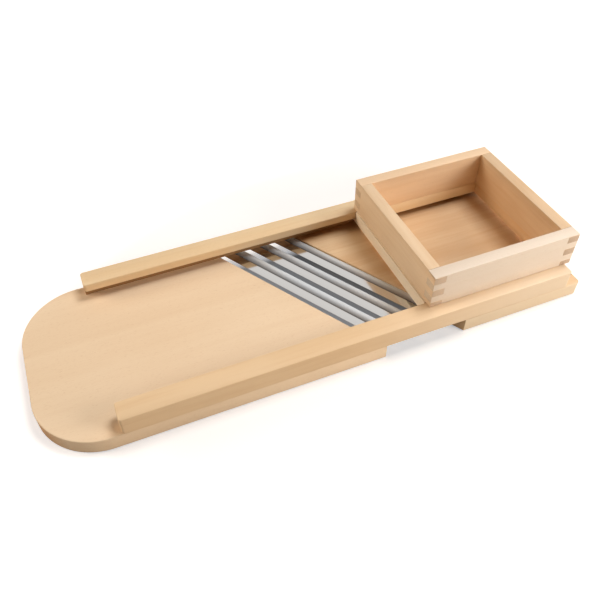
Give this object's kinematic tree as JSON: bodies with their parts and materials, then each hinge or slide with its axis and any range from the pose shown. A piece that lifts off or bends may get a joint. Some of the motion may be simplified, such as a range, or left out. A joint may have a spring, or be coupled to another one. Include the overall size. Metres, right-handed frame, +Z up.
{
  "type": "cabbage shredder",
  "caption": "Wooden cabbage shredder: boards and grooved rails carry slanting steel blades, and a finger-jointed box slides over them.",
  "frame": {"origin": "on the surface it lies on, under the middle of the boards", "axes": "+X along the boards from the rounded end towards the box, +Y across them to the far rail, +Z up"},
  "size_m": [0.52, 0.1826, 0.0712],
  "materials": {
    "board_wood": "planed beech, unvarnished",
    "rail_wood": "planed beech, unvarnished",
    "box_wood": "planed beech, unvarnished",
    "runner_wood": "planed beech, unvarnished",
    "blade_steel": "bright polished stainless steel",
    "screw_steel": "zinc-plated steel"
  },
  "bodies": {
    "frame": {"left_board": "board_wood", "right_board": "board_wood", "far_rail": "rail_wood", "near_rail": "rail_wood", "blade_1": "blade_steel", "blade_2": "blade_steel", "blade_3": "blade_steel", "far_rail_screws": "screw_steel", "near_rail_screws": "screw_steel", "far_blade_screws": "screw_steel", "near_blade_screws": "screw_steel"},
    "box": {"box_left_wall": "box_wood", "box_right_wall": "box_wood", "box_front_wall": "box_wood", "box_back_wall": "box_wood", "box_left_runner": "runner_wood", "box_right_runner": "runner_wood", "box_front_runner": "runner_wood", "box_back_runner": "runner_wood", "left_runner_screws": "screw_steel", "right_runner_screws": "screw_steel"}
  },
  "joints": [
    {"name": "box_slide", "type": "slide", "parent": "frame", "child": "box", "axis": [1, 0, 0], "range_m": [-0.28, 0.01]}
  ]
}
